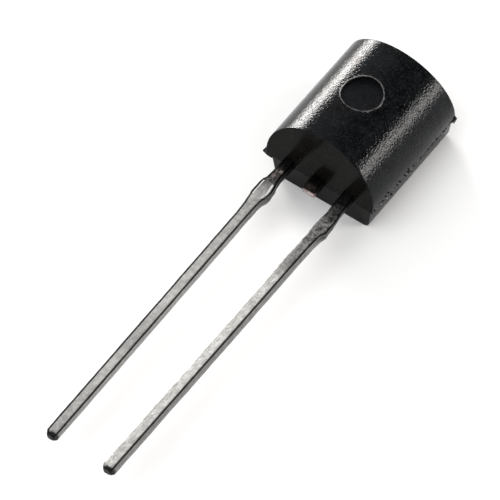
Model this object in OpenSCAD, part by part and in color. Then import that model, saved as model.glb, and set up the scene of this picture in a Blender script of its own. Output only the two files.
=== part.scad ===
// Moulded silicon PTC temperature sensor with two leads, in millimetres.
// It lies on its flat side: X runs across the leads, the leads point along -Y, and Z = 0 is the
// flat side, with the origin at its middle. The leads' underside is the mould's parting plane.

/* [Body] */
// Length of the body at the parting plane, from the lead end to the far end
body_len = 5.25; // [4.6:0.05:6]
// Radius of the round back
back_r = 2.32; // [2.25:0.01:2.6]
// Height of the parting plane above the flat side
parting_h = 1.17; // [1:0.01:1.4]
// Height of the round back's axis above the parting plane
axis_rise = 0.24; // [0.1:0.01:0.4]
// Width of the ledge on each side, where the flat half is narrower than the round half
ledge_w = 0.16; // [0.05:0.01:0.25]
// Slope of the flat half's long sides, in degrees
side_draft = 6; // [2:0.5:10]
// Radius of the long corners beside the flat side
corner_r = 0.26; // [0.1:0.01:0.5]
// Slope of both ends of the flat half, in degrees
flat_end_draft = 5; // [1:0.5:8]
// Slope of the round half's end beside the leads, in degrees
lead_end_draft = 3.5; // [1:0.5:8]
// Slope of the round half's far end, in degrees
far_end_draft = 5.9; // [1:0.1:8]
// Mismatch of the moulds: how far the flat half sits to the right and towards the far end
mould_shift = 0.05; // [0:0.01:0.1]

/* [Ejector mark] */
// Diameter of the round mark on the crown
mark_d = 1.54; // [0.8:0.01:2]
// Depth of the mark's flat floor below the crown
mark_depth = 0.25; // [0.18:0.01:0.5]

/* [Leads] */
// Distance between the two leads' middles
pitch = 2.54; // [2.3:0.01:2.8]
// Width of a lead
lead_w = 0.41; // [0.35:0.01:0.5]
// Thickness of the lead frame
lead_t = 0.41; // [0.35:0.01:0.5]
// Length of a lead outside the body
lead_len = 14.4; // [10:0.1:20]
// Radius of a lead's long edges
lead_edge_r = 0.05; // [0.02:0.01:0.08]
// How far each side of a lead's end is pinched in by the cut
tip_pinch = 0.07; // [0.02:0.01:0.1]
// Length of the pinched end
tip_len = 0.2; // [0.1:0.05:0.5]
// Turn of the right lead about its own axis, in degrees
right_turn = 7.5; // [0:0.5:10]

/* [Tie bar remains] */
// Distance from the body to the remains of the cut tie bar
bar_from = 1.1; // [0.8:0.05:1.6]
// Length of the remains along the lead
bar_len = 0.95; // [0.6:0.05:1.4]
// How far the remains stand out on each side of a lead
bar_rest = 0.07; // [0.03:0.01:0.12]
// Length of the slope at each end of the remains
bar_slope = 0.14; // [0.05:0.01:0.25]

/* [Centre lead] */
// Width of the centre lead
stub_w = 0.5; // [0.4:0.01:0.6]
// Length of its cut stub outside the body
stub_len = 0.62; // [0.3:0.01:1.5]
// Radius that the cut rolled onto the stub's upper edge
stub_roll_r = 0.14; // [0.05:0.01:0.2]

/* [Lead frame inside] */
// Width of a bond post
post_w = 0.84; // [0.6:0.01:1]
// Length of a bond post
post_len = 0.9; // [0.6:0.05:1.2]
// Depth of the bond posts inside the lead end
post_depth = 0.9; // [0.6:0.05:1.1]
// Width of the chip pad
pad_w = 1.5; // [1.1:0.05:2]
// Length of the chip pad
pad_len = 1.6; // [1.1:0.05:1.8]
// Gap between the bond posts' inner ends and the chip pad, along the part
pad_gap = 0.25; // [0.15:0.05:0.4]
// Corner radius of the bond posts and the chip pad
plate_r = 0.12; // [0.05:0.01:0.2]

/* [Chip] */
// Side of the square silicon chip
chip_side = 0.6; // [0.4:0.05:0.8]
// Thickness of the chip
chip_t = 0.25; // [0.15:0.01:0.4]
// Thickness of the solder under the chip
attach_t = 0.03; // [0.02:0.01:0.05]
// How far the solder shows round the chip
attach_margin = 0.04; // [0.02:0.01:0.08]

/* [Bond wires] */
// Diameter of a bond wire
wire_d = 0.038; // [0.025:0.001:0.05]
// Diameter of the ball on the chip
ball_d = 0.1; // [0.08:0.01:0.14]
// Height of the ball
ball_t = 0.03; // [0.02:0.01:0.05]
// Distance of each wire's ball from the chip's middle
contact_x = 0.15; // [0.1:0.01:0.2]
// Slope of the wire as it comes down to the post, in degrees
wire_slope = 19; // [16:1:26]
// Radius of the bend above the ball
loop_r = 0.1; // [0.05:0.01:0.15]
// Radius of the bend onto the post
landing_r = 0.25; // [0.1:0.01:0.4]
// Length of the wire's flattened foot on the post
foot_len = 0.12; // [0.08:0.01:0.2]
// Thickness of the foot
foot_t = 0.02; // [0.01:0.005:0.03]

/* [Hidden] */

$fn = 64;
LEFT = -1;
RIGHT = 1;
past = 1;                                       // how far a cutter runs past what it cuts

half_len = body_len / 2;
crown_h = parting_h + axis_rise + back_r;
back_half_w = sqrt(back_r * back_r - axis_rise * axis_rise);
front_half_w = back_half_w - ledge_w;
// Middle of a long corner's arc, tangent to the flat side and to the sloping side
corner_x = front_half_w - (parting_h - corner_r * (1 - sin(side_draft))) * tan(side_draft)
    - corner_r * cos(side_draft);

lead_x = pitch / 2;
lead_mid_h = parting_h + lead_t / 2;
lead_top_h = parting_h + lead_t;
post_y = -half_len + post_depth;                // the bond posts' ends nearest the leads
pad_y = post_y + post_len + pad_gap;            // the pad's end nearest the leads
chip_y = pad_y + pad_len / 2;
chip_top_h = lead_top_h + attach_t + chip_t;

// The bond wire runs in the upright plane through its ball and its foot.
foot_run = [lead_x - contact_x, post_y + post_len / 2 - chip_y];
run_len = norm(foot_run);
heading = atan2(foot_run.y, foot_run.x);
slope_len = (run_len - foot_len / 2 - loop_r * (1 + sin(wire_slope)) - landing_r * sin(wire_slope))
    / cos(wire_slope);
ball_top = chip_top_h + ball_t;
wire_end_h = lead_top_h + wire_d / 2;
rise = wire_end_h - ball_top - loop_r * cos(wire_slope) + slope_len * sin(wire_slope)
    + landing_r * (1 - cos(wire_slope));
wire_sides = 8;
bend_steps = 5;
// Path of the wire's middle, as [distance, height, tilt] points
wire_path = concat(
    [[0, ball_top - ball_t / 2, 90]],
    [for (k = [0:bend_steps]) let (tilt = 90 - (90 + wire_slope) * k / bend_steps)
        [loop_r * (1 - sin(tilt)), ball_top + rise + loop_r * cos(tilt), tilt]],
    [for (k = [0:bend_steps]) let (tilt = -wire_slope * (1 - k / bend_steps))
        [run_len - foot_len / 2 + landing_r * sin(tilt), wire_end_h + landing_r * (1 - cos(tilt)), tilt]]
);

// Extrudes a section drawn in X and Z along Y, between two places on Y
module along_y(from, to) {
    translate([0, to, 0]) rotate([90, 0, 0]) linear_extrude(to - from) children();
}

// Extrudes an outline drawn in Y and Z across X, evenly to both sides
module across_x(width) {
    rotate([90, 0, 90]) linear_extrude(width, center = true) children();
}

// Rectangle with round corners, centred
module rounded(size, r) {
    square([size.x - 2 * r, size.y], center = true);
    square([size.x, size.y - 2 * r], center = true);
    for (sx = [-1, 1], sy = [-1, 1])
        translate([sx * (size.x / 2 - r), sy * (size.y / 2 - r)]) circle(r);
}

// Flat plate of the lead frame with its length along Y, from the place y0
module plate(width, length, y0) {
    translate([0, y0 + length / 2, parting_h])
        linear_extrude(lead_t) rounded([width, length], plate_r);
}

// Round half of the body: a cylinder cut by the parting plane, with sloping ends
module back_half() {
    lead_in = (crown_h - parting_h) * tan(lead_end_draft);
    far_in = (crown_h - parting_h) * tan(far_end_draft);
    intersection() {
        along_y(-half_len, half_len) intersection() {
            translate([0, parting_h + axis_rise]) circle(back_r, $fn = 180);
            translate([-back_r, parting_h]) square([2 * back_r, crown_h]);
        }
        across_x(2 * back_r + past) polygon([
            [-half_len, parting_h], [half_len, parting_h],
            [half_len - far_in, crown_h], [-half_len + lead_in, crown_h]
        ]);
    }
}

// Flat half of the body: sloping sides and ends, round long corners and the flat side
module front_half() {
    end_in = parting_h * tan(flat_end_draft);
    tangent = [corner_x + corner_r * cos(side_draft), corner_r * (1 - sin(side_draft))];
    intersection() {
        along_y(-half_len, half_len) {
            polygon([
                [-front_half_w, parting_h], [front_half_w, parting_h],
                tangent, [corner_x, 0], [-corner_x, 0], [-tangent.x, tangent.y]
            ]);
            for (side = [LEFT, RIGHT]) translate([side * corner_x, corner_r]) circle(corner_r);
        }
        across_x(2 * front_half_w + past) polygon([
            [-half_len + end_in, 0], [half_len - end_in, 0],
            [half_len, parting_h], [-half_len, parting_h]
        ]);
    }
}

// Epoxy body, moulded round everything that it holds
module moulded_body() {
    color([0.07, 0.07, 0.08]) difference() {
        union() {
            back_half();
            translate([mould_shift, mould_shift, 0]) front_half();
        }
        translate([0, 0, crown_h - mark_depth]) cylinder(d = mark_d, h = mark_depth + past);
        outer_lead(LEFT, 0);
        outer_lead(RIGHT, right_turn);
        centre_lead();
        chip_block(attach_margin, lead_top_h, attach_t);
        chip_block(0, lead_top_h + attach_t, chip_t);
        for (side = [LEFT, RIGHT]) bond_wire(side);
    }
}

// Bar of a lead from inside the post to the pinched cut end, about its own axis
module lead_bar() {
    tip = -half_len - lead_len;
    inner = post_y + plate_r;
    intersection() {
        along_y(tip, inner) rounded([lead_w, lead_t], lead_edge_r);
        across_x(lead_w + past) pinched(lead_t, tip, inner);
        linear_extrude(2 * lead_t, center = true) mirror([1, -1]) pinched(lead_w, tip, inner);
    }
}

// Outline of a bar as wide as size whose end at the place tip is pinched in on both sides
module pinched(size, tip, inner) {
    half = size / 2;
    polygon([
        [tip, -half + tip_pinch], [tip + tip_len, -half], [inner, -half],
        [inner, half], [tip + tip_len, half], [tip, half - tip_pinch]
    ]);
}

// What the cut tie bar left on both sides of a lead, about the lead's own axis
module bar_remains() {
    start = -half_len - bar_from;
    end = start - bar_len;
    narrow = lead_w / 2 - lead_edge_r;
    wide = lead_w / 2 + bar_rest;
    linear_extrude(lead_t, center = true) polygon([
        [-narrow, start], [narrow, start], [wide, start - bar_slope], [wide, end + bar_slope],
        [narrow, end], [-narrow, end], [-wide, end + bar_slope], [-wide, start - bar_slope]
    ]);
}

// Outer lead with its bond post; turn tilts the bar about its own axis
module outer_lead(side, turn) {
    translate([side * lead_x, 0, 0]) {
        plate(post_w, post_len, post_y);
        translate([0, 0, lead_mid_h]) rotate([0, -turn, 0]) {
            lead_bar();
            bar_remains();
        }
    }
}

// Centre lead: the chip pad, its bar, and the stub with its rolled upper edge
module centre_lead() {
    cut = -half_len - stub_len;
    inner = pad_y + plate_r;
    plate(pad_w, pad_len, pad_y);
    intersection() {
        translate([0, 0, lead_mid_h]) along_y(cut, inner) rounded([stub_w, lead_t], lead_edge_r);
        across_x(stub_w + past) {
            translate([cut, parting_h]) square([inner - cut, lead_t - stub_roll_r]);
            translate([cut + stub_roll_r, parting_h]) square([inner - cut - stub_roll_r, lead_t]);
            translate([cut + stub_roll_r, lead_top_h - stub_roll_r]) circle(stub_roll_r);
        }
    }
}

// Square block over the chip's place, wider than the chip by margin on every side
module chip_block(margin, base, height) {
    side = chip_side + 2 * margin;
    translate([-side / 2, chip_y - side / 2, base]) cube([side, side, height]);
}

// Gold wire: ball on the chip, neck, bend, long slope, bend and flattened foot on the post
module bond_wire(side) {
    mirror([side == LEFT ? 1 : 0, 0, 0]) translate([contact_x, chip_y, 0]) {
        translate([0, 0, chip_top_h]) cylinder(d = ball_d, h = ball_t);
        rotate([0, 0, heading]) {
            wire_tube(wire_path);
            translate([run_len - foot_len, -wire_d, lead_top_h]) cube([foot_len, 2 * wire_d, foot_t]);
        }
    }
}

// Tube with flat sides along a path of [distance, height, tilt] points
module wire_tube(path) {
    rings = len(path);
    last = (rings - 1) * wire_sides;
    points = [
        for (p = path, k = [0:wire_sides - 1])
            let (turn = 360 * (k + 0.5) / wire_sides, up = wire_d / 2 * cos(turn))
                [p[0] - up * sin(p[2]), wire_d / 2 * sin(turn), p[1] + up * cos(p[2])]
    ];
    ends = [[for (k = [0:wire_sides - 1]) k], [for (k = [wire_sides - 1:-1:0]) last + k]];
    walls = [
        for (i = [0:rings - 2], k = [0:wire_sides - 1])
            let (a = i * wire_sides + k, b = i * wire_sides + (k + 1) % wire_sides)
                [a, a + wire_sides, b + wire_sides, b]
    ];
    polyhedron(points, concat(ends, walls));
}

module lead_left() {
    color([0.72, 0.72, 0.7]) outer_lead(LEFT, 0);
}

module lead_right() {
    color([0.78, 0.78, 0.77]) outer_lead(RIGHT, right_turn);
}

module chip_pad_lead() {
    color([0.75, 0.6, 0.52]) centre_lead();
}

module sensor_chip() {
    color([0.35, 0.37, 0.42]) chip_block(0, lead_top_h + attach_t, chip_t);
}

module die_attach() {
    color([0.6, 0.6, 0.6]) chip_block(attach_margin, lead_top_h, attach_t);
}

module bond_wire_left() {
    color([0.9, 0.7, 0.3]) bond_wire(LEFT);
}

module bond_wire_right() {
    color([0.9, 0.7, 0.3]) bond_wire(RIGHT);
}

moulded_body();
lead_left();
lead_right();
chip_pad_lead();
sensor_chip();
die_attach();
bond_wire_left();
bond_wire_right();
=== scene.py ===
# %% [markdown]
# # A two-lead moulded temperature sensor
#
# The real part is a drop of black epoxy cast round a stamped lead frame. It is only 5 mm long, so
# the eye reads it by small things: grain that the spark-eroded mould left, a thin seam where the
# two mould halves met, the round mark of an ejector pin, and tin plating that never is quite flat.
# We start by loading the exact solids. They are the skeleton that every piece here is built on.

# %% Load the exact solids
import math

import bmesh
import bpy
from mathutils import Matrix, Vector, noise


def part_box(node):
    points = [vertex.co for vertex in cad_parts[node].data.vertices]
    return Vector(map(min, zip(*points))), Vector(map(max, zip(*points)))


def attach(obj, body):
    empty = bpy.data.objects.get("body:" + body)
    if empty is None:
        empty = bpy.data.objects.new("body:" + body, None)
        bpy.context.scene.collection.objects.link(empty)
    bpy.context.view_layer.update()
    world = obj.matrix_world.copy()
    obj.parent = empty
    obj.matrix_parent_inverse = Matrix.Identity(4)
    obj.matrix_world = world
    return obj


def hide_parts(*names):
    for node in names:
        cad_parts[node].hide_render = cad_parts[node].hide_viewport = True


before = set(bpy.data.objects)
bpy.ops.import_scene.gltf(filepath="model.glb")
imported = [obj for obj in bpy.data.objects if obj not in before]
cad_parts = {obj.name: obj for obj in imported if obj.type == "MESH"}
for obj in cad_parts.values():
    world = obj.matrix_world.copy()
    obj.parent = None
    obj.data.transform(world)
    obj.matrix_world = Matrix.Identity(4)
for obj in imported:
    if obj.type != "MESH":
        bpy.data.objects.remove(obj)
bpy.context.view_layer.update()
print("solids:", sorted(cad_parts))

# %% [markdown]
# ## Sizes
#
# A size that can be read from the solids is read from them, so that the looks follow the solids.
# What a box can't tell, such as a slope or a ledge, is written once here in millimetres, the unit
# of such a part's drawing.

# %% Sizes in millimetres
MM = 0.001


def box_mm(node):
    low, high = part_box(node)
    return low / MM, high / MM


body_low, body_high = box_mm("moulded_body")
lead_low, lead_high = box_mm("lead_left")
stub_low = box_mm("chip_pad_lead")[0]

HALF_LEN = -body_low.y
BACK_R = body_high.x
CROWN_H = body_high.z
PARTING_H = lead_low.z
AXIS_H = CROWN_H - BACK_R
LEDGE_W = 0.16
MOULD_SHIFT = 0.05
SIDE_DRAFT = math.radians(6)
CORNER_R = 0.26
FLAT_END_SLOPE = math.tan(math.radians(5))
LEAD_END_SLOPE = math.tan(math.radians(3.5))
FAR_END_SLOPE = math.tan(math.radians(5.9))
LEAD_T = lead_high.z - lead_low.z
LEAD_X = 1.27
LEAD_MID_H = PARTING_H + LEAD_T / 2
TIP_Y = lead_low.y
RIGHT_TURN = math.radians(7.5)
print(f"body {2 * HALF_LEN:.2f} x {2 * BACK_R:.2f} x {CROWN_H:.2f} mm, leads to {TIP_Y:.2f} mm")

# %% [markdown]
# ## Camera
#
# The camera looks down on the part from the front right, from far away through a long lens, which
# keeps the two leads nearly parallel. It is placed on a ball round a point between the leads, by
# its compass angle, its height angle and a slight roll. The lamps are placed in the same way.

# %% Camera
LOOK_AT = Vector((-0.306, -6.405, 1.17)) * MM
VIEW_COMPASS, VIEW_HEIGHT = 144.75, 54.79
VIEW_ROLL = math.radians(0.35)
VIEW_DISTANCE = 226.97 * MM
SENSOR_MM = 36
LENS_MM = 461.9
NEAREST, FARTHEST = 0.01, 10


def on_ball(compass, height):
    """Way to a place on a ball; both angles are in degrees, and the far end is at compass 0."""
    compass, height = math.radians(compass), math.radians(height)
    return Vector((math.sin(compass) * math.cos(height), math.cos(compass) * math.cos(height),
                   math.sin(height)))


def make_camera():
    back = on_ball(VIEW_COMPASS, VIEW_HEIGHT)
    data = bpy.data.cameras.new("camera")
    data.lens = LENS_MM
    data.sensor_width = SENSOR_MM
    data.clip_start = NEAREST
    data.clip_end = FARTHEST
    camera = bpy.data.objects.new("camera", data)
    bpy.context.scene.collection.objects.link(camera)
    turn = back.to_track_quat("Z", "Y") @ Matrix.Rotation(VIEW_ROLL, 3, "Z").to_quaternion()
    camera.matrix_world = Matrix.LocRotScale(LOOK_AT + back * VIEW_DISTANCE, turn, None)
    bpy.context.scene.camera = camera
    return camera


camera = make_camera()
print("camera at", [round(v / MM) for v in camera.location], "mm")

# %% [markdown]
# ## Light
#
# Black plastic shows hardly any colour of its own. What we see on it is what it mirrors, so the
# lamps are placed for their mirror images. Two small strip boxes stand low behind the part, one on
# each side: the round back mirrors each as a bright band along its length. A wide soft box high
# in front is the main light. It stands where no large face mirrors it, so it only brings out
# colour and shape.

# %% Soft boxes
def make_softbox(name, compass, height, distance, size, radiance, colour=(1, 1, 1)):
    """Area lamp on a ball round the body, facing it; radiance is how bright its face looks."""
    direction = on_ball(compass, height)
    data = bpy.data.lights.new(name, "AREA")
    data.shape = "RECTANGLE"
    data.size, data.size_y = size
    data.energy = radiance * size[0] * size[1] * math.pi
    data.color = colour
    lamp = bpy.data.objects.new(name, data)
    bpy.context.scene.collection.objects.link(lamp)
    turn = direction.to_track_quat("Z", "Y")
    lamp.matrix_world = Matrix.LocRotScale(direction * distance, turn, None)
    lamp.visible_camera = False


WARM = (1.0, 0.976, 0.948)
make_softbox("strip_left", -62, 8.2, 0.08, (0.034, 0.020), 43, WARM)
make_softbox("strip_right", 61, 15.5, 0.08, (0.034, 0.016), 29, WARM)
make_softbox("soft_front", -160, 55, 0.6, (0.5, 0.5), 1.6)


# %% [markdown]
# ## Sky and floor
#
# The sky is white all round, so that the background is white from every side. Only a patch high
# behind the part is dark, like a black cloth under a studio ceiling. The right of the crown
# mirrors that patch, so black epoxy looks black there. The patch is part of the sky and not a
# card, because a card would stand in the way of cameras behind the part.

# %% Node helper, sky and floor
CLOTH_MIDDLE = Vector((0.50, 0.47, 0.73)).normalized()
CLOTH_LEVEL = 0.05
CLOTH_EDGE = (math.cos(math.radians(50)), math.cos(math.radians(12)))
FLOOR_SIZE = 3.0


def node_of(tree, kind, at=(0, 0), **settings):
    """Adds a shader node; a setting is one of its properties or the value of an input."""
    node = tree.nodes.new(kind)
    node.location = at
    for key, value in settings.items():
        if hasattr(node, key):
            setattr(node, key, value)
        else:
            node.inputs[key.replace("_", " ")].default_value = value
    return node


def make_world():
    world = bpy.data.worlds.new("studio_sky")
    world.use_nodes = True
    tree = world.node_tree
    tree.nodes.clear()
    direction = node_of(tree, "ShaderNodeTexCoord", (-800, 0))
    near_cloth = node_of(tree, "ShaderNodeVectorMath", (-600, 0), operation="DOT_PRODUCT")
    near_cloth.inputs[1].default_value = CLOTH_MIDDLE
    level = node_of(tree, "ShaderNodeMapRange", (-300, 0), interpolation_type="SMOOTHSTEP")
    for label, value in (("From Min", CLOTH_EDGE[0]), ("From Max", CLOTH_EDGE[1]),
                         ("To Min", 1.0), ("To Max", CLOTH_LEVEL)):
        level.inputs[label].default_value = value
    background = node_of(tree, "ShaderNodeBackground", (0, 0))
    output = node_of(tree, "ShaderNodeOutputWorld", (200, 0))
    tree.links.new(direction.outputs["Generated"], near_cloth.inputs[0])
    tree.links.new(near_cloth.outputs["Value"], level.inputs["Value"])
    tree.links.new(level.outputs[0], background.inputs["Strength"])
    tree.links.new(background.outputs[0], output.inputs["Surface"])
    bpy.context.scene.world = world


def make_floor():
    mesh = bpy.data.meshes.new("floor")
    half = FLOOR_SIZE / 2
    corners = [(-half, -half, 0), (half, -half, 0), (half, half, 0), (-half, half, 0)]
    mesh.from_pydata(corners, [], [(0, 1, 2, 3)])
    floor = bpy.data.objects.new("floor", mesh)
    bpy.context.scene.collection.objects.link(floor)
    material = bpy.data.materials.new("white_sweep")
    material.use_nodes = True
    shader = material.node_tree.nodes["Principled BSDF"]
    shader.inputs["Base Color"].default_value = (1, 1, 1, 1)
    shader.inputs["Roughness"].default_value = 1
    shader.inputs["Specular IOR Level"].default_value = 0
    mesh.materials.append(material)


make_world()
make_floor()
print("a white sky with a dark cloth, and a white floor")
bpy.context.scene.view_settings.view_transform = "Standard"

# %% [markdown]
# ## Two helpers for meshes
#
# Almost every piece here has one long direction and a section that changes slowly along it, so a
# loft makes it: rings of points, one ring for each station, joined by four-sided faces. Such a
# mesh is closed and even, which booleans and bevels need. A modifier's result is written into
# the mesh, so that every later step works on the real surface.
# The shop works in millimetres, because booleans lose their way among edges as short as these
# are in metres. Each piece is scaled down to metres when it is finished.

# %% Loft, modifier and piece helpers
def new_piece(name, verts, faces):
    mesh = bpy.data.meshes.new(name)
    mesh.from_pydata(verts, [], faces)
    piece = bpy.data.objects.new(name, mesh)
    bpy.context.scene.collection.objects.link(piece)
    repair = bmesh.new()
    repair.from_mesh(mesh)
    bmesh.ops.recalc_face_normals(repair, faces=repair.faces)
    if repair.calc_volume(signed=True) < 0:
        bmesh.ops.reverse_faces(repair, faces=repair.faces)
    repair.to_mesh(mesh)
    repair.free()
    return piece


def loft(name, rings):
    """Closed piece through rings of points, with a cap on the first and the last ring."""
    count = len(rings[0])
    last = (len(rings) - 1) * count
    faces = [tuple(range(count)), tuple(range(last, last + count))]
    for first in range(0, last, count):
        for k in range(count):
            a, b = first + k, first + (k + 1) % count
            faces.append((a, b, b + count, a + count))
    return new_piece(name, [point for ring in rings for point in ring], faces)


def apply_modifier(piece, kind, **settings):
    modifier = piece.modifiers.new("step", kind)
    for key, value in settings.items():
        setattr(modifier, key, value)
    graph = bpy.context.evaluated_depsgraph_get()
    mesh = bpy.data.meshes.new_from_object(piece.evaluated_get(graph))
    piece.modifiers.clear()
    piece.data = mesh


def round_edges(piece, width, segments, over):
    """Bevels every edge that turns by more than the given angle in degrees."""
    apply_modifier(piece, "BEVEL", width=width, segments=segments, limit_method="ANGLE",
                   angle_limit=math.radians(over))


def combine(piece, other, operation):
    apply_modifier(piece, "BOOLEAN", operation=operation, object=other, solver="EXACT")


def drop(piece):
    bpy.data.objects.remove(piece)


def open_edges(piece):
    links = {}
    for face in piece.data.polygons:
        for key in face.edge_keys:
            links[key] = links.get(key, 0) + 1
    return sum(1 for n in links.values() if n != 2)


def report(piece):
    print(f"{piece.name}: {len(piece.data.polygons)} faces, {open_edges(piece)} open edges")


def enlarged(node):
    """Copy of a solid in millimetres, as a cutter."""
    copy = bpy.data.objects.new("cutter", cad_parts[node].data.copy())
    copy.data.transform(Matrix.Scale(1 / MM, 4))
    bpy.context.scene.collection.objects.link(copy)
    return copy


def wobble(place, size, seed=0.0):
    """Smooth random value of about -1 to 1 that changes over the given size in millimetres."""
    return noise.noise(Vector(place) / size + Vector((seed, 1.7 * seed, 2.3 * seed)))


# %% [markdown]
# ## Leads
#
# A stamped lead is a square bar of copper alloy dipped in tin. The stamp leaves a wider place
# where the tie bar was cut, the cutter rounds the end, and the molten tin softens the edges. A
# bevelled box would look like a steel rule, so the lead is lofted: each station has its own left
# and right edge, read off a short table, and its own share of tin wobble.
#
# Each side of the section has a few points more than its form needs. They cut it into strips
# along the lead: a thin rim beside each corner, a lobe next to it and a seam in the middle. The
# strips get finishes of their own later.

# %% Section of a lead
CORNER_STEPS = 4
RIM = 0.03
LOBE = 0.075
SEAM = (0.47, 0.53)
SIDE_POINTS = CORNER_STEPS + 1 + 6
RIM_STRIP, SEAM_STRIP, LOBE_STRIPS = 0, 3, (1, 5, 6)


def lead_section(left, right, half_t, edge_r):
    """Points (x, z) of a bar's section and the way each faces, from the top left, clockwise."""
    centres = [(-left + edge_r, half_t - edge_r, 180), (right - edge_r, half_t - edge_r, 90),
               (right - edge_r, -half_t + edge_r, 0), (-left + edge_r, -half_t + edge_r, -90)]
    points = []
    for n, (cx, cz, first) in enumerate(centres):
        for k in range(CORNER_STEPS + 1):
            turn = math.radians(first - 90 * k / CORNER_STEPS)
            facing = (math.cos(turn), math.sin(turn))
            points.append((cx + edge_r * facing[0], cz + edge_r * facing[1], facing))
        last = points[-1]
        nx, nz, _ = centres[(n + 1) % 4]
        ahead = (nx + edge_r * last[2][0], nz + edge_r * last[2][1])
        rim, lobe = (d / max(4 * LOBE, math.dist(ahead, last[:2])) for d in (RIM, LOBE))
        for t in (rim, lobe, *SEAM, 1 - lobe, 1 - rim):
            points.append((last[0] + (ahead[0] - last[0]) * t,
                           last[1] + (ahead[1] - last[1]) * t, last[2]))
    return points


def from_table(table, distance):
    """Value at a distance, with straight lines between the table's places."""
    for (d0, v0), (d1, v1) in zip(table, table[1:]):
        if distance <= d1:
            return v0 + (v1 - v0) * max(0.0, (distance - d0) / (d1 - d0))
    return table[-1][1]


print("points in a section:", len(lead_section(0.2, 0.2, 0.2, 0.05)))


# %% [markdown]
# The table of a lead runs from its root in the epoxy to its cut end. The remains of the tie bar
# stand out between 1.1 and 2 mm from the body, on both sides of the left lead but on one side of
# the right lead, which was cut off centre. There the cutter also dragged the upper edge outwards:
# "lean" says how far it stands out beyond the lower edge. "sway" bends the lead a little sideways.

# %% Tables of the leads' edges
LEFT_LEAD = {
    "x": -LEAD_X, "turn": math.radians(2), "seed": 3.0,
    "left": [(0, .21), (.75, .21), (1.05, .235), (1.18, .31), (1.9, .315), (2.1, .285),
             (2.4, .235), (2.95, .21), (14.4, .208)],
    "right": [(0, .2), (.8, .2), (1.08, .235), (1.28, .30), (1.62, .335), (1.86, .31),
              (2.04, .235), (2.5, .22), (14.4, .22)],
    "lean": [(0, 0)],
    "sway": [(0, -.02), (3, -.03), (8, 0), (14.4, .03)],
}
RIGHT_LEAD = {
    "x": LEAD_X, "turn": RIGHT_TURN, "seed": 11.0,
    "left": [(0, .205), (.8, .175), (1.1, .155), (1.25, .17), (1.6, .195), (1.9, .205),
             (2.05, .21), (2.3, .18), (2.7, .19), (3.2, .225), (14.4, .225)],
    "right": [(0, .205), (.85, .215), (1.1, .25), (1.4, .30), (1.85, .335), (2.05, .28),
              (2.5, .24), (3.0, .225), (14.4, .225)],
    "lean": [(0, .02), (.15, .08), (.5, .12), (1.1, .145), (1.4, .105), (1.85, .055), (2.05, 0)],
    "sway": [(0, 0), (3, 0), (8, -.03), (14.4, -.07)],
}
END_PLACE = -HALF_LEN
LEAD_LEN = END_PLACE - TIP_Y
TIP_LEN = 0.16
TIP_R = 0.085
TIP_STEPS = 7
POST = {"half": 0.42, "from": END_PLACE + 0.9, "to": END_PLACE + 1.8}
PLATE_R = 0.12
PLATE_EDGE_R = 0.004
PLATE_TO_BAR = 0.01
BAR_EDGE_R = 0.05


def plate_stations(plate):
    """Places and half widths of a flat plate with round corners, from its inner end outwards."""
    stations = []
    for end, way in ((plate["to"], -1), (plate["from"], 1)):
        arc = [(end + way * PLATE_R * (1 - math.sin(math.radians(a))),
                plate["half"] - PLATE_R * (1 - math.cos(math.radians(a))))
               for a in range(90, -1, -15)]
        stations += arc if way < 0 else arc[::-1]
    return stations


print("post stations:", len(plate_stations(POST)))


# %% [markdown]
# A lead has four finishes: satin tin on its wide faces, tin painted darker on its sides as painted
# shade, edges painted dark as painted shade, with one dark line along the middle of the right
# side, and a fourth finish that is a painted highlight on the left lead's shoulder and painted
# shade on the right lead's upper left edge. A mask in a shader would need the lead's outline
# again, while the loft knows for each face which strip it lies in, so the finish is chosen by
# face.

# %% Finish of each face
# The second finish is tin painted darker on the sides, as painted shade; the third paints the
# edges dark as painted shade, and a line along the middle of the right side; the fourth is a
# painted highlight on the left lead's shoulder and painted shade on the right lead's upper left
# edge.
TIN, SHADED_SIDE, DARK_LINE, PAINTED_LIGHT = range(4)
SHOULDER = (1.25, 1.98)


def lead_finish(shape, away, k):
    """Which finish the k-th face of a ring has, at a distance from the body."""
    corner, step = divmod(k, SIDE_POINTS)
    strip = step - CORNER_STEPS
    is_left = shape is LEFT_LEAD
    on_shoulder = is_left and SHOULDER[0] < away < SHOULDER[1]
    if corner == 0 and strip < 0:
        return DARK_LINE if is_left else PAINTED_LIGHT
    if corner == 0 and on_shoulder and strip in LOBE_STRIPS:
        return PAINTED_LIGHT
    if corner == 0:
        return DARK_LINE if is_left and strip == RIM_STRIP else TIN
    if corner == 1 and strip < 0:
        return DARK_LINE if step > 0 else TIN
    if corner == 1:
        return DARK_LINE if strip in (RIM_STRIP, SEAM_STRIP) else SHADED_SIDE
    return SHADED_SIDE if (corner == 2) == (strip < 0) else TIN


print("on the left lead's shoulder:", [lead_finish(LEFT_LEAD, 1.5, k) for k in range(SIDE_POINTS)])


# %% [markdown]
# Where the bar leaves the epoxy it is straight and sharp, because the mould clamped it there. The
# wobble of the tin comes in over the first millimetre, and it is strongest at the cut tie bar,
# where the tin gathered. At the cut end the bar is drawn in along a quarter of an ellipse, which
# gives the soft tip that the cutter and the tin leave.

# %% Loft of a lead
TIN_COAT = 0.012
TIN_FROM = 0.8
LONG_WAVE, SHORT_WAVE = (0.010, 0.9), (0.006, 0.3)
LOBE_WAVE, TIP_WAVE = (0.03, 0.34), (0.012, 0.16)
LOBE_MIDDLE, LOBE_REACH = 1.7, 0.75
TURN_RAMP = 0.5
TIP_EDGE, TIP_SOFT = 0.02, 0.03
RING_SPACING = 0.055
LEAD_EDGES = (0.018, 2, 60)


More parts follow.
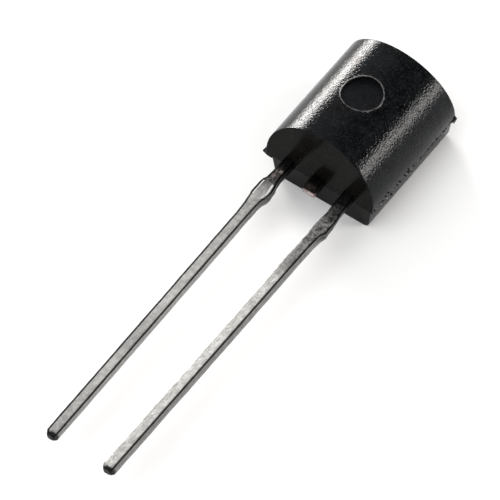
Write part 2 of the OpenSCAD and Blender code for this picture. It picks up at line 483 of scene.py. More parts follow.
def lead_ring(shape, y):
    """One ring of a lead's bar outside the plate, at the place y."""
    away = END_PLACE - y
    left, right = from_table(shape["left"], away), from_table(shape["right"], away)
    out = min(1.0, max(0.0, away / TIN_FROM))
    half_t, edge_r = LEAD_T / 2 + TIN_COAT * out, BAR_EDGE_R
    lobes = math.exp(-((away - LOBE_MIDDLE) / LOBE_REACH) ** 2)
    to_tip = max(0.0, 1 - (LEAD_LEN - away) / TIP_LEN)
    inset = TIP_EDGE * min(1.0, 2 * to_tip) + TIP_R * (1 - math.sqrt(1 - to_tip * to_tip))
    left, right, half_t = left - inset, right - inset, half_t - inset
    edge_r += TIN_COAT * out + TIP_SOFT * to_tip
    turn, ring = shape["turn"] * min(1.0, max(0.0, (away + TURN_RAMP) / TURN_RAMP)), []
    lean, seed = from_table(shape["lean"], away), shape["seed"]
    for x, z, (fx, fz) in lead_section(left, right, half_t, edge_r):
        x += lean * max(0.0, x / right) * (z + half_t) / (2 * half_t)
        place = (x, y, z)
        tin = out * (LONG_WAVE[0] * wobble(place, LONG_WAVE[1], seed)
                     + SHORT_WAVE[0] * wobble(place, SHORT_WAVE[1], 5 + seed))
        tin += lobes * LOBE_WAVE[0] * wobble(place, LOBE_WAVE[1], 9 + seed)
        tin += to_tip * TIP_WAVE[0] * wobble(place, TIP_WAVE[1], 7 + seed)
        x, z = x + fx * tin, z + fz * tin
        x, z = (x * math.cos(turn) - z * math.sin(turn), z * math.cos(turn) + x * math.sin(turn))
        ring.append((shape["x"] + from_table(shape["sway"], away) * out + x, y, LEAD_MID_H + z))
    return ring


def plate_rings(plate, middle_x):
    """Rings of a flat plate inside the epoxy, about a line along the body."""
    rings = []
    for y, half in plate_stations(plate):
        ring = lead_section(half, half, LEAD_T / 2, PLATE_EDGE_R)
        rings.append([(middle_x + x, y, LEAD_MID_H + z) for x, z, _ in ring])
    return rings


def make_lead(name, shape, plate):
    rings = plate_rings(plate, shape["x"])
    start, tip_from = plate["from"] - PLATE_TO_BAR, TIP_Y + TIP_LEN
    count = math.ceil((start - tip_from) / RING_SPACING)
    for k in range(count):
        rings.append(lead_ring(shape, start + (tip_from - start) * k / count))
    for k in range(TIP_STEPS + 1):
        turn = math.pi / 2 * k / TIP_STEPS
        rings.append(lead_ring(shape, tip_from - TIP_LEN * math.sin(turn)))
    piece = loft(name, rings)
    for face in piece.data.polygons[2:]:
        k = (face.index - 2) % len(rings[0])
        face.material_index = lead_finish(shape, END_PLACE - face.center.y, k)
    round_edges(piece, *LEAD_EDGES)
    piece.data.shade_smooth()
    return piece


lead_pieces = {
    "lead_left": make_lead("tinned_lead_left", LEFT_LEAD, POST),
    "lead_right": make_lead("tinned_lead_right", RIGHT_LEAD, POST),
}
for piece in lead_pieces.values():
    report(piece)


# %% [markdown]
# ## Cut centre lead
#
# The centre lead carries the chip inside. Outside, only a stub is left, because this sensor needs
# two leads. The cutter came from above: it rolled the upper edge over and tore the lower one, so
# the stub ends in a slanted, uneven face. It is the same loft with its own numbers.

# %% Centre lead with its stub
STUB_LEN = END_PLACE - stub_low.y
STUB_W = 0.5
STUB_RINGS = 46
ROLL_LEN, ROLL_DROP = 0.26, 0.14
STUB_TIN_FROM = 0.3
STUB_WAVES = ((0.012, 0.3), (0.008, 0.12))
TORN_WAVE = (0.035, 0.13)
STUB_EDGES = (0.015, 2, 60)
PAD = {"half": 0.75, "from": POST["to"] + 0.25, "to": POST["to"] + 1.85}


def make_centre_lead():
    rings = plate_rings(PAD, 0)
    start = PAD["from"] - PLATE_TO_BAR
    for k in range(STUB_RINGS + 1):
        y = start + (stub_low.y - start) * k / STUB_RINGS
        away = END_PLACE - y
        out = min(1.0, max(0.0, away / STUB_TIN_FROM))
        near_cut = max(0.0, 1 - (STUB_LEN - away) / ROLL_LEN)
        ring = []
        for x, z, (fx, fz) in lead_section(STUB_W / 2, STUB_W / 2, LEAD_T / 2, BAR_EDGE_R):
            rolled = ROLL_DROP * near_cut * near_cut * max(0.0, z / (LEAD_T / 2))
            place = (x, y, z)
            tin = out * sum(height * wobble(place, size, seed)
                            for seed, (height, size) in enumerate(STUB_WAVES, 21))
            torn = near_cut * TORN_WAVE[0] * wobble((x, 0, z), TORN_WAVE[1], 23)
            ring.append((x + fx * tin, y + torn, LEAD_MID_H + z + fz * tin - rolled))
        rings.append(ring)
    piece = loft("cut_centre_lead", rings)
    round_edges(piece, *STUB_EDGES)
    piece.data.shade_smooth()
    return piece


lead_pieces["chip_pad_lead"] = make_centre_lead()
report(lead_pieces["chip_pad_lead"])


# %% [markdown]
# ## Epoxy body
#
# The body is one casting from a two-part mould. Its round half and its flat half meet at the
# parting plane, where the leads lie. Each half slopes so that it leaves its mould, and the flat
# half is a little narrower, which leaves a ledge along both sides. The section is drawn once, and
# each of its points is stretched along the body to the sloping ends.

# %% Section of the body
BACK_W = math.sqrt(BACK_R ** 2 - (AXIS_H - PARTING_H) ** 2)
FRONT_W = BACK_W - LEDGE_W
CORNER_X = (FRONT_W - (PARTING_H - CORNER_R * (1 - math.sin(SIDE_DRAFT))) * math.tan(SIDE_DRAFT)
            - CORNER_R * math.cos(SIDE_DRAFT))
ARC_STEPS = 120
CORNER_ARC_STEPS = 8
STATIONS = 48


def flat_section():
    """Section of the flat half, from its left ledge round to its right ledge."""
    half = [(0.0, 0.0)]
    for k in range(CORNER_ARC_STEPS + 1):
        turn = -math.pi / 2 + (math.pi / 2 - SIDE_DRAFT) * k / CORNER_ARC_STEPS
        half.append((CORNER_X + CORNER_R * math.cos(turn), CORNER_R * (1 + math.sin(turn))))
    half.append((FRONT_W, PARTING_H))
    return [(-x, z) for x, z in half[:0:-1]] + half


def round_section():
    """Section of the round half, from its right ledge over the crown to its left ledge."""
    start = math.asin((PARTING_H - AXIS_H) / BACK_R)
    turns = [start + (math.pi - 2 * start) * k / ARC_STEPS for k in range(ARC_STEPS + 1)]
    return [(BACK_R * math.cos(t), AXIS_H + BACK_R * math.sin(t)) for t in turns]


def round_ends(z):
    """Where the lead end and the far end of the round half are at the height z."""
    up = max(0.0, z - PARTING_H)
    return -HALF_LEN + up * LEAD_END_SLOPE, HALF_LEN - up * FAR_END_SLOPE


def flat_ends(z):
    """The same for the flat half."""
    down = max(0.0, PARTING_H - z)
    return -HALF_LEN + down * FLAT_END_SLOPE, HALF_LEN - down * FLAT_END_SLOPE


print("points in the sections:", len(flat_section()), "and", len(round_section()))


# %% [markdown]
# Each half is a loft of its own along the body, closed by one flat cap at each end. The moulds
# never line up exactly, so the flat half sits a twentieth of a millimetre to the side and to the
# back. A boolean then joins the halves; the flat one reaches a hair into the round one, because
# two faces in the same plane are the one thing that a boolean is bad at.

# %% Plain casting
OVERLAP = 0.004
MOULD_EDGES = (0.03, 3, 50)


def make_half(name, section, ends, shift):
    rings = []
    for n in range(STATIONS + 1):
        ring = []
        for x, z in section:
            near, far = ends(z)
            ring.append((x + shift, near + (far - near) * n / STATIONS + shift, z))
        rings.append(ring)
    half = loft(name, rings)
    round_edges(half, *MOULD_EDGES)
    return half


def make_casting():
    flat = [(x, z + (OVERLAP if z > PARTING_H - 1e-6 else 0)) for x, z in flat_section()]
    piece = make_half("epoxy_body", round_section(), round_ends, 0)
    lower = make_half("flat_half", flat, flat_ends, MOULD_SHIFT)
    combine(piece, lower, "UNION")
    drop(lower)
    return piece


epoxy = make_casting()
report(epoxy)


# %% [markdown]
# ## Flash along the parting line
#
# Where the mould halves don't quite close, a film of epoxy creeps out and hardens as flash: a thin
# ragged fin, widest at two opposite corners of the mould. Noise alone would spread it evenly, so
# it is made of three parts: a film all along, a nub at each of the two corners, and noise that
# mostly stays below zero, which leaves bits of fin with bare places between them.

# %% Flash fins
FILM = {"reach": 0.005, "climb": 0.025, "hang": 0.012}
BITS = {"reach": 0.22, "climb": 0.12, "hang": 0}
NUBS = {-1: {"reach": 0.145, "climb": 0.33, "hang": 0.09},
        1: {"reach": 0.08, "climb": 0.12, "hang": 0.34}}
NUB_LEN = 0.12
BIT_LEN, BIT_LEVEL = 0.10, 0.08
RAGGED_TO, FAR_SHARE = 0.3, 0.3
FIN_STATIONS = 150
FIN_ROOT, FIN_END_GAP = 0.05, 0.01
FIN_TAPER, FIN_UNDER, FIN_FILM = 0.9, 0.06, 0.01


def flash_shape(side, y):
    """How far the fin stands out, how high it climbs and how far it hangs down."""
    near = math.exp(-((y - side * HALF_LEN) / NUB_LEN) ** 2)
    share = 1 if y < RAGGED_TO else FAR_SHARE
    bits = share * max(0.0, wobble((side, y, 0), BIT_LEN, 31) - BIT_LEVEL)
    return [FILM[key] + BITS[key] * bits + NUBS[side][key] * near
            for key in ("reach", "climb", "hang")]


def make_flash(side):
    rings = []
    inside = FRONT_W + side * MOULD_SHIFT - FIN_ROOT
    for k in range(FIN_STATIONS + 1):
        reach, climb, hang = flash_shape(side, HALF_LEN * (2 * k / FIN_STATIONS - 1))
        top = PARTING_H + climb
        arc = math.sqrt(BACK_R ** 2 - (top - AXIS_H) ** 2)
        section = [(inside, PARTING_H - hang),
                   (inside + FIN_UNDER + FIN_TAPER * reach, PARTING_H - hang),
                   (BACK_W + reach, PARTING_H + FIN_FILM),
                   (BACK_W + FIN_TAPER * reach, PARTING_H + 2 * FIN_FILM + 0.2 * climb),
                   (arc + 0.001, top), (arc - FIN_ROOT, top - FIN_FILM)]
        ring = []
        for x, z in section:
            near, far = round_ends(z)
            span = far - near - 2 * FIN_END_GAP
            ring.append((side * x, near + FIN_END_GAP + span * k / FIN_STATIONS, z))
        rings.append(ring)
    return loft("flash", rings)


for side in (-1, 1):
    fin = make_flash(side)
    combine(epoxy, fin, "UNION")
    drop(fin)
    report(epoxy)


# %% [markdown]
# ## Ejector mark
#
# A pin pushed the casting out of the mould while the epoxy was still hot. Its face left a round,
# flat-bottomed mark in the crown, and the gap round the pin left a hair-thin raised ring. The ring
# is a torus that follows the curve of the back, joined on after the pin's form is cut away.

# %% Ring and recess of the ejector pin
MARK_R = 0.77
MARK_FLOOR = 3.48
RING_R = MARK_R + 0.009
RING_THICK = 0.019
RING_STATIONS, RING_SIDES = 144, 10
RING_RAGGED, RAGGED_SIZE = 0.45, 0.16
PIN_SIDES = 128


def crown_at(x):
    return AXIS_H + math.sqrt(BACK_R ** 2 - x * x)


def make_ring():
    verts, faces = [], []
    for k in range(RING_STATIONS):
        turn = 2 * math.pi * k / RING_STATIONS
        out = (math.cos(turn), math.sin(turn))
        thick = RING_THICK * (1 + RING_RAGGED * wobble((*out, 0), RAGGED_SIZE, 41))
        for s in range(RING_SIDES):
            a = 2 * math.pi * s / RING_SIDES
            r = RING_R + thick * math.cos(a)
            verts.append((out[0] * r, out[1] * r, crown_at(out[0] * RING_R) + thick * math.sin(a)))
    for k in range(RING_STATIONS):
        here, ahead = k * RING_SIDES, (k + 1) % RING_STATIONS * RING_SIDES
        for s in range(RING_SIDES):
            t = (s + 1) % RING_SIDES
            faces.append((here + s, here + t, ahead + t, ahead + s))
    return new_piece("ring", verts, faces)


def make_pin(radius, bottom, top):
    turns = [2 * math.pi * k / PIN_SIDES for k in range(PIN_SIDES)]
    return loft("pin", [[(radius * math.cos(turn), radius * math.sin(turn), z) for turn in turns]
                        for z in (bottom, top)])


pin = make_pin(MARK_R, MARK_FLOOR, CROWN_H + 1)
combine(epoxy, pin, "DIFFERENCE")
drop(pin)
ring = make_ring()
combine(epoxy, ring, "UNION")
drop(ring)
report(epoxy)


# %% [markdown]
# ## Pockets
#
# Epoxy fills every gap round the lead frame, the chip and the wires, so the casting has a pocket
# of exactly the same form for each of them. The pockets are cut with those pieces themselves. What
# can't be seen is then still right, and each piece can be taken out and looked at.

# %% Pockets for everything inside
HAIR = 0.001
for piece in lead_pieces.values():
    combine(epoxy, piece, "DIFFERENCE")
    report(epoxy)
for n, node in enumerate(("die_attach", "sensor_chip", "bond_wire_left", "bond_wire_right")):
    cutter = enlarged(node)
    cutter.data.transform(Matrix.Translation((0, 0, -HAIR * (n + 1))))
    combine(epoxy, cutter, "DIFFERENCE")
    drop(cutter)
    report(epoxy)


# %% [markdown]
# ## Hooking the pieces to the solids
#
# Each detailed piece goes back to metres, rides on the root body and stands for one solid, which
# is hidden.

# %% Ride and replace
for piece in (epoxy, *lead_pieces.values()):
    piece.data.transform(Matrix.Scale(MM, 4))
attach(epoxy, "root")
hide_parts("moulded_body")
for node, piece in lead_pieces.items():
    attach(piece, "root")
    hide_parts(node)
print("pieces:", [epoxy.name] + [p.name for p in lead_pieces.values()])


# %% [markdown]
# ## Shared shader groups
#
# Grain and blotches turn up on the epoxy and on the metals, so each is a node group: built once
# and used with other numbers in each material. A group puts out only masks and heights. The
# pieces are measured in metres and are tiny, so all patterns are scaled in millimetres.

# %% Node helpers and groups
FINE_TIMES = 2.7


def make_group(name, inputs, outputs):
    tree = bpy.data.node_groups.new(name, "ShaderNodeTree")
    for label, default in inputs.items():
        socket = tree.interface.new_socket(label, in_out="INPUT", socket_type="NodeSocketFloat")
        socket.default_value = default
    for label in outputs:
        tree.interface.new_socket(label, in_out="OUTPUT", socket_type="NodeSocketFloat")
    source = node_of(tree, "NodeGroupInput", (-900, 0))
    result = node_of(tree, "NodeGroupOutput", (900, 0))
    return tree, source, result


def place_in_mm(tree, at=(-700, 0)):
    """Object coordinates in millimetres."""
    coordinates = node_of(tree, "ShaderNodeTexCoord", (at[0] - 200, at[1]))
    scaled = node_of(tree, "ShaderNodeVectorMath", at, operation="SCALE")
    scaled.inputs["Scale"].default_value = 1 / MM
    tree.links.new(coordinates.outputs["Object"], scaled.inputs[0])
    return scaled.outputs[0]


def math_node(tree, operation, a, b, at, clamp=False):
    """Sum, product and so on of two numbers or sockets."""
    node = node_of(tree, "ShaderNodeMath", at, operation=operation)
    node.use_clamp = clamp
    for slot_number, value in enumerate((a, b)):
        if isinstance(value, (int, float)):
            node.inputs[slot_number].default_value = value
        else:
            tree.links.new(value, node.inputs[slot_number])
    return node.outputs[0]


def noise_node(tree, place, scale, detail, roughness, at):
    node = node_of(tree, "ShaderNodeTexNoise", at, Detail=detail, Roughness=roughness)
    tree.links.new(place, node.inputs["Vector"])
    tree.links.new(scale, node.inputs["Scale"])
    return node.outputs["Fac"]


def range_node(tree, value, low, high, to_low, to_high, at):
    """Carries the range from low to high over to the range from to_low to to_high."""
    node = node_of(tree, "ShaderNodeMapRange", at, From_Min=low, From_Max=high,
                   To_Min=to_low, To_Max=to_high)
    tree.links.new(value, node.inputs["Value"])
    return node.outputs[0]


def make_grain_group():
    """Spark-eroded grain: small pits between rounded grains."""
    tree, source, result = make_group(
        "eroded_grain", {"Grain Size": 0.05, "Fine Share": 0.5}, ["Height"])
    place = place_in_mm(tree)
    scale = math_node(tree, "DIVIDE", 1.0, source.outputs["Grain Size"], (-500, 200))
    coarse = noise_node(tree, place, scale, 1.0, 0.5, (-300, 200))
    fine_scale = math_node(tree, "MULTIPLY", scale, FINE_TIMES, (-400, -100))
    fine = noise_node(tree, place, fine_scale, 1.0, 0.5, (-200, -100))
    fine = math_node(tree, "MULTIPLY", fine, source.outputs["Fine Share"], (0, -100))
    tree.links.new(math_node(tree, "ADD", coarse, fine, (200, 0)), result.inputs["Height"])
    return tree


def make_blotch_group():
    """Soft-edged patches: Threshold sets how much they cover."""
    tree, source, result = make_group(
        "blotches", {"Patch Size": 0.5, "Threshold": 0.5, "Softness": 0.08}, ["Mask"])
    place = place_in_mm(tree)
    scale = math_node(tree, "DIVIDE", 1.0, source.outputs["Patch Size"], (-500, 200))
    field = noise_node(tree, place, scale, 3.0, 0.6, (-300, 200))
    over = math_node(tree, "SUBTRACT", field, source.outputs["Threshold"], (0, 100))
    scaled = math_node(tree, "DIVIDE", over, source.outputs["Softness"], (200, 100))
    mask = math_node(tree, "ADD", scaled, 0.5, (400, 100), clamp=True)
    tree.links.new(mask, result.inputs["Mask"])
    return tree


GRAIN = make_grain_group()
BLOTCHES = make_blotch_group()
print("groups:", GRAIN.name, BLOTCHES.name)


# %% [markdown]
# ## Helpers for materials
#
# Every material is one Principled shader. Numbers that are the same all over are set on the
# shader itself; only what changes over the surface is linked. Every finish here is grained, so
# one helper places the grain: high grains are rubbed smoother than the pits between them.

# %% Material helpers
GRAIN_HEIGHTS = (0.4, 1.1)


def new_material(name, **settings):
    material = bpy.data.materials.new(name)
    material.use_nodes = True
    tree = material.node_tree
    shader = tree.nodes["Principled BSDF"]
    for key, value in settings.items():
        shader.inputs[key.replace("_", " ")].default_value = value
    return material, tree, shader


def use_group(tree, group, output, at, **values):
    """Places a shader group; a value goes to the input of that name."""
    node = node_of(tree, "ShaderNodeGroup", at)
    node.node_tree = group
    for key, value in values.items():
        node.inputs[key.replace("_", " ").title()].default_value = value
    return node.outputs[output]


def blotch_mask(tree, patch_size, threshold, softness, at):
    return use_group(tree, BLOTCHES, "Mask", at, patch_size=patch_size, threshold=threshold,
                     softness=softness)


def mix_colours(tree, factor, first, second, at):
    """From the first colour to the second; each is a colour or a socket."""
    node = node_of(tree, "ShaderNodeMix", at, data_type="RGBA")
    tree.links.new(factor, node.inputs[0])
    for number, colour in ((6, first), (7, second)):
        if isinstance(colour, tuple):
            node.inputs[number].default_value = (*colour, 1)
        else:
            tree.links.new(colour, node.inputs[number])
    return node.outputs[2]


def along_axis(tree, axis, start_mm, end_mm, at=(-900, -400)):
    """Mask that rises from 0 at start to 1 at end, both places in millimetres."""
    split = node_of(tree, "ShaderNodeSeparateXYZ", at)
    tree.links.new(place_in_mm(tree, (at[0] - 200, at[1])), split.inputs[0])
    return range_node(tree, split.outputs[axis], start_mm, end_mm, 0, 1, (at[0] + 200, at[1]))


def grain_surface(tree, shader, grain_size, fine_share, roughness, depth, heights=GRAIN_HEIGHTS):
    """Grain of a depth in millimetres; roughness goes from its first value in the pits to its
    second on the high grains."""
    height = use_group(tree, GRAIN, "Height", (-700, -200), grain_size=grain_size,
                       fine_share=fine_share)
    rubbed = range_node(tree, height, *heights, *roughness, (-400, -50))
    tree.links.new(rubbed, shader.inputs["Roughness"])
    relief = node_of(tree, "ShaderNodeBump", (-200, -300), Strength=1.0, Distance=depth * MM)
    tree.links.new(height, relief.inputs["Height"])
    tree.links.new(relief.outputs[0], shader.inputs["Normal"])


print("material helpers ready, grain heights", GRAIN_HEIGHTS)


# %% [markdown]
# ## Epoxy finish
#
# The mould's round half was spark-eroded, so the back has a grain that breaks each highlight into
# specks. The ends are smoother and look a deeper black, and the pin's mark is matt. Its thin ring
# is painted grey as a painted highlight, and broken flash is dull with pale specks painted on as
# highlights. One material for all would make the ends too grey, so there are five, given to the
# faces by where they lie and point.

# %% Epoxy materials
def make_epoxy(name, first, second, speck, roughness, grain, depth, level):
    """Cloudy epoxy with specks of filler in it; roughness is a middle value and its swing, grain
    a size in millimetres and a share of fine grain."""
    material, tree, shader = new_material(name, Specular_IOR_Level=level)
    patches = blotch_mask(tree, 0.45, 0.5, 0.3, (-700, 200))
    specks = blotch_mask(tree, 0.08, 0.58, 0.1, (-700, 400))
    clouds = mix_colours(tree, patches, first, second, (-300, 200))
    colour = mix_colours(tree, specks, clouds, speck, (-100, 300))
    tree.links.new(colour, shader.inputs["Base Color"])
    middle, swing = roughness
    span = 0.5 * (1 + grain[1])
    grain_surface(tree, shader, *grain, (middle + swing, middle - swing), depth,
                  (span - 0.2, span + 0.2))
    return material


def make_flash_finish():
    """Broken epoxy: dull and nearly black, with pale specks painted on as highlights, which fade
    out just past the middle of the body.
    """
    material, tree, shader = new_material("epoxy_flash", Specular_IOR_Level=0.15)
    specks = blotch_mask(tree, 0.09, 0.52, 0.08, (-700, 200))
    specks = math_node(tree, "MULTIPLY", specks, along_axis(tree, "Y", 0.5, 0.2), (-500, 200))
    colour = mix_colours(tree, specks, (0.004, 0.004, 0.004), (0.26, 0.25, 0.24), (-300, 200))
    tree.links.new(colour, shader.inputs["Base Color"])
    grain_surface(tree, shader, 0.04, 0.6, (0.7, 0.5), 0.01)
    return material


epoxy_finishes = [
    make_epoxy("epoxy_grained", (0.002, 0.0022, 0.0024), (0.006, 0.007, 0.0082),
               (0.013, 0.0135, 0.014), (0.085, 0.035), (0.072, 0.15), 0.0125, 0.085),
    make_epoxy("epoxy_smooth", (0.0035, 0.0033, 0.003), (0.005, 0.0047, 0.0042),
               (0.007, 0.0066, 0.006), (0.18, 0.04), (0.05, 0.5), 0.001, 0.045),
    make_epoxy("epoxy_pin_mark", (0.003, 0.0034, 0.0042), (0.007, 0.008, 0.010),
               (0.011, 0.012, 0.014), (0.40, 0.05), (0.05, 0.5), 0.006, 0.1),
    # The ring's grey is a painted highlight along the rim.
    make_epoxy("epoxy_ring_painted_highlight", (0.02, 0.02, 0.02), (0.10, 0.098, 0.095),
               (0.15, 0.148, 0.145), (0.45, 0.05), (0.05, 0.5), 0.01, 0.4),
    make_flash_finish(),
]
BACK, END, MARK, RING, FLASH = range(5)
print("epoxy finishes:", [material.name for material in epoxy_finishes])


# %% [markdown]
# A face knows its middle and its normal, and both are measured against the same sizes that made
# the casting. Each test leaves a hair or a little more, because a boolean moves points slightly.

# %% Finish of each face of the casting
NEAR_FIN_H, FIN_END = 0.4, 0.2
HAIR_OFF, SLACK = 0.002, 0.01
END_FACING, END_DEPTH = 0.9, 0.3
SHARP_OVER = 32


def epoxy_finish_at(middle, normal):
    """Which finish a face of the casting has, from its middle in millimetres and its normal."""
    from_mark = math.hypot(middle.x, middle.y)
    if from_mark < RING_R + 2 * RING_THICK and middle.z > MARK_FLOOR - SLACK:
        from_ring = math.hypot(from_mark - RING_R, middle.z - crown_at(middle.x))
        if from_ring < 1.3 * RING_THICK:
            return RING
        if from_mark < MARK_R + SLACK:
            return MARK
    beyond_back = math.hypot(middle.x, middle.z - AXIS_H) > BACK_R + HAIR_OFF
    beyond_flat = (middle.z < PARTING_H - HAIR_OFF
                   and abs(middle.x) > FRONT_W + MOULD_SHIFT + SLACK)
    on_fin = abs(middle.z - PARTING_H) < NEAR_FIN_H and abs(middle.y) < HALF_LEN - FIN_END
    if on_fin and (beyond_back or beyond_flat):
        return FLASH
    on_end = abs(normal.y) > END_FACING and abs(middle.y) > HALF_LEN - END_DEPTH
    return END if on_end else BACK


def finish_epoxy(piece):
    mesh = piece.data
    mesh.materials.clear()
    for material in epoxy_finishes:
        mesh.materials.append(material)
    for face in mesh.polygons:
        face.material_index = epoxy_finish_at(face.center / MM, face.normal)
    mesh.shade_smooth()
    mesh.set_sharp_from_angle(angle=math.radians(SHARP_OVER))
    apply_modifier(piece, "WEIGHTED_NORMAL", keep_sharp=True)


def count_finishes(piece):
    """How many faces of a piece have each of its finishes."""
    used = [face.material_index for face in piece.data.polygons]
    return {material.name: used.count(k) for k, material in enumerate(piece.data.materials)}


finish_epoxy(epoxy)
print("faces by finish:", count_finishes(epoxy))


# %% [markdown]
# ## Tin and copper
#
# Tin plating is a soft white metal with a satin sheen. Next to the body it is thin, stained and
# lets copper through, the cut end has tarnished to nearly black, and a fresh cut shows bare
# copper. How stained the tin is changes all along a lead, so a table gives two tones for each
# distance to the body, and blotches mix them. A colour ramp in the shader reads that table.

# %% Stains along the leads
# The side tables are darker than the top tables, as painted shade on the sides; the lobe table is
# near white, a painted highlight on the left lead's shoulder.
STAINS = {
    "left_top": [(0, .010, .016), (.4, .015, .035), (.65, .02, (.36, .30, .29)),
                 (.95, .024, (.36, .30, .29)), (1.15, .02, .11), (1.4, .18, .28), (1.8, .32, .46),
                 (3, .33, .47), (5, .37, .51), (7.5, .43, .58), (9.3, .30, .43), (11, .41, .56),
                 (12.3, .35, .50), (14.2, .30, .44)],
    "left_side": [(0, .01, .016), (1, .016, .024), (1.3, .07, .12), (2.2, .13, .19),
                  (3, .15, .22), (4, .25, .33), (12, .25, .33), (14.2, .19, .26)],
    "left_painted_highlight": [(0, .9, .97), (14.2, .9, .97)],
    "right_top": [(0, .010, .018), (.5, .014, .05), (.9, .02, .15), (1.4, .03, .28),
                  (2.4, .06, .27), (3, .09, .27), (3.5, .12, .27), (4.8, .36, .54), (6, .38, .56),
                  (8, .43, .62), (12, .36, .54), (14.2, .37, .55)],
    "right_side": [(0, .008, .012), (1, .01, .02), (1.5, .02, .06), (2, .06, .15),
                   (2.4, .17, .24), (14.2, .17, .24)],
}
print("places in each table:", {name: len(table) for name, table in STAINS.items()})

# %% Metal materials
TARNISH = (0.007, 0.007, 0.007)
TARNISH_R, TARNISH_EDGE, TARNISH_RAGGED = 0.29, 0.06, 0.08
TARNISH_MIDDLE = {"left": -LEAD_X + 0.08, "right": LEAD_X - 0.02}
TARNISH_H = LEAD_MID_H - 0.02
DRIFT = 0.15
BARE_METAL = (END_PLACE - 1.6, END_PLACE - 0.8)


def tin_tone(level):
    """Tin is a little warm; a colour that is given in full stays as it is."""
    return (*level, 1) if isinstance(level, tuple) else (level, 0.985 * level, 0.96 * level, 1)


def ramp_node(tree, factor, stops, at):
    """Colours along a factor from 0 to 1; stops are (place, colour) pairs."""
    node = node_of(tree, "ShaderNodeValToRGB", at)
    points = node.color_ramp.elements
    points.remove(points[1])
    points[0].position = stops[0][0]
    points[0].color = stops[0][1]
    for place, colour in stops[1:]:
        points.new(place).color = colour
    tree.links.new(factor, node.inputs[0])
    return node.outputs[0]


def near_tip(tree, side):
    """Mask of a ball round the middle of a lead's cut end, with a ragged edge."""
    reach = node_of(tree, "ShaderNodeVectorMath", (-900, -700), operation="DISTANCE")
    tree.links.new(place_in_mm(tree, (-1100, -700)), reach.inputs[0])
    reach.inputs[1].default_value = (TARNISH_MIDDLE[side], TIP_Y, TARNISH_H)
    ragged = blotch_mask(tree, 0.15, 0.5, 0.5, (-900, -900))
    edge = math_node(tree, "MULTIPLY", ragged, TARNISH_RAGGED, (-700, -900))
    total = math_node(tree, "ADD", reach.outputs["Value"], edge, (-500, -700))
    return range_node(tree, total, TARNISH_R + TARNISH_EDGE, TARNISH_R, 0, 1, (-300, -700))


def tin_grime(tree):
    """Coarse blotches with fine ones on top, from 0 to 1."""
    coarse = blotch_mask(tree, 0.17, 0.5, 0.22, (-900, 500))
    fine = blotch_mask(tree, 0.05, 0.5, 0.3, (-900, 300))
    fine = range_node(tree, fine, 0, 1, -0.4, 0.4, (-700, 300))
    return math_node(tree, "ADD", coarse, fine, (-500, 400), clamp=True)


def make_tin(name, side, stains, share=1.0, metallic=0.7, roughness=0.42):
    """Tin whose stains follow the distance to the body; share dims all of its colours."""
    material, tree, shader = new_material(name, Specular_IOR_Level=0.3 if share > 0.1 else 0.1,
                                          Metallic=metallic)
    towards_tip = along_axis(tree, "Y", END_PLACE, TIP_Y)
    drift = blotch_mask(tree, 0.5, 0.5, 0.5, (-900, 100))
    drift = range_node(tree, drift, 0, 1, -DRIFT / LEAD_LEN, DRIFT / LEAD_LEN, (-700, 100))
    place = math_node(tree, "ADD", towards_tip, drift, (-500, 0))
    tones = []
    for n in (1, 2):
        stops = [(stop[0] / LEAD_LEN, tuple(share * c for c in tin_tone(stop[n])))
                 for stop in STAINS[stains]]
        tones.append(ramp_node(tree, place, stops, (-300, 300 * n)))
    colour = mix_colours(tree, tin_grime(tree), *tones, (0, 300))
    colour = mix_colours(tree, near_tip(tree, side), colour, TARNISH, (150, 300))
    tree.links.new(colour, shader.inputs["Base Color"])
    if metallic < 1:
        bare = along_axis(tree, "Y", *BARE_METAL, (-900, -1000))
        clean = range_node(tree, bare, 0, 1, metallic, 1.0, (-300, -1000))
        tree.links.new(clean, shader.inputs["Metallic"])
    grain_surface(tree, shader, 0.10, 0.6, (roughness + 0.06, roughness - 0.06), 0.012)
    return material


def finish_lead(side, painted_light_finish):
    """Four finishes in the order that the loft gave its faces: tin, tin with painted shade for the
    sides, tin dimmed to near black for the painted dark lines, and the last, which is painted
    light.
    """
    piece = lead_pieces["lead_" + side]
    top = side + "_top"
    # The dark-line finish is the top tone dimmed to a twentieth: painted shade on the edges, and
    # the line along the middle of the right side.
    for material in (make_tin(f"tin_{side}_satin", side, top),
                     make_tin(f"tin_{side}_side_painted_shade", side, side + "_side"),
                     make_tin(f"tin_{side}_painted_dark_line", side, top, 0.05, 0.3, 0.7), painted_light_finish):
        piece.data.materials.append(material)
    print(piece.name, "faces by finish:", count_finishes(piece))


# On the left lead the last finish is near-white, smooth tin on the shoulder lobes: a painted
# highlight.
finish_lead("left", make_tin("tin_left_painted_highlight", "left", "left_painted_highlight", 1, 1, 0.25))
# On the right lead the last finish is the top tone dimmed to seven tenths on the upper left edge:
# painted shade.
finish_lead("right", make_tin("tin_right_edge_painted_shade", "right", "right_top", 0.7))


# %% [markdown]
# The stub was tinned with the other leads and cut afterwards. Its tin is stained nearly black, as
# it is at the roots of the others, and only the lower part of its end, where the cutter tore it
# off, shows pink copper alloy.

# %% Copper of the cut stub
TORN_FROM, TORN_TO = 0.14, 0.08
TORN_TOP, TORN_BOTTOM = LEAD_MID_H + 0.08, LEAD_MID_H - 0.02


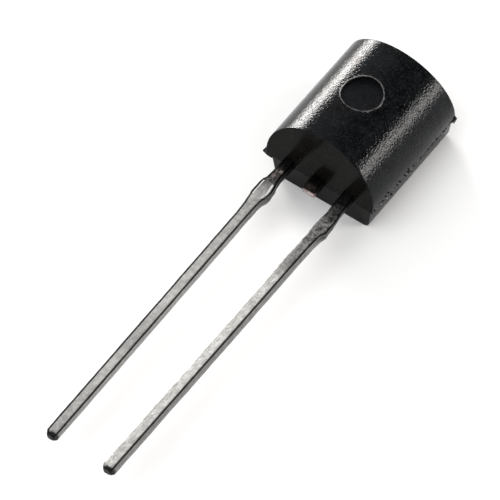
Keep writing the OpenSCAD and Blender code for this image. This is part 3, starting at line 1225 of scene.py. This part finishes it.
def make_copper():
    material, tree, shader = new_material("copper_cut_stub", Metallic=1.0)
    cut = along_axis(tree, "Y", stub_low.y + TORN_FROM, stub_low.y + TORN_TO)
    low = along_axis(tree, "Z", TORN_TOP, TORN_BOTTOM, (-900, -700))
    torn = math_node(tree, "MULTIPLY", cut, low, (-400, -500))
    grime = blotch_mask(tree, 0.14, 0.5, 0.2, (-700, 300))
    stained = mix_colours(tree, grime, (0.005, 0.0045, 0.004), (0.014, 0.012, 0.011), (-400, 300))
    bright = mix_colours(tree, grime, (0.24, 0.19, 0.18), (0.58, 0.48, 0.46), (-200, 100))
    colour = mix_colours(tree, torn, stained, bright, (0, 300))
    tree.links.new(colour, shader.inputs["Base Color"])
    grain_surface(tree, shader, 0.08, 0.6, (0.5, 0.36), 0.006)
    return material


lead_pieces["chip_pad_lead"].data.materials.append(make_copper())
print("metals:", [m.name for m in bpy.data.materials if m.name.startswith(("tin", "copper"))])


# %% [markdown]
# ## Inside the epoxy
#
# The chip, its solder and the gold wires never show on a whole part. They still get their real
# finishes, because a cut-away drawing or an exploded view will show them.

# %% Finishes of the hidden solids
def make_plain_metal(name, first, second, roughness, metallic=1.0, patch=0.1):
    material, tree, shader = new_material(name, Metallic=metallic)
    patches = blotch_mask(tree, patch, 0.5, 0.3, (-700, 200))
    colour = mix_colours(tree, patches, first, second, (-300, 200))
    tree.links.new(colour, shader.inputs["Base Color"])
    grain_surface(tree, shader, patch / 4, 0.5, (roughness + 0.08, roughness - 0.08), 0.001)
    return material


HIDDEN = {
    "sensor_chip": make_plain_metal(
        "silicon_polished", (0.12, 0.13, 0.16), (0.15, 0.16, 0.20), 0.15, 0.6),
    "die_attach": make_plain_metal(
        "solder_dull", (0.45, 0.45, 0.46), (0.56, 0.56, 0.57), 0.4),
    "bond_wire_left": make_plain_metal(
        "gold_drawn", (0.92, 0.66, 0.25), (0.98, 0.75, 0.36), 0.25, 1.0, 0.05),
}
HIDDEN["bond_wire_right"] = HIDDEN["bond_wire_left"]
for node, material in HIDDEN.items():
    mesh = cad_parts[node].data
    mesh.materials.clear()
    mesh.materials.append(material)
print("hidden solids finished:", sorted(HIDDEN))
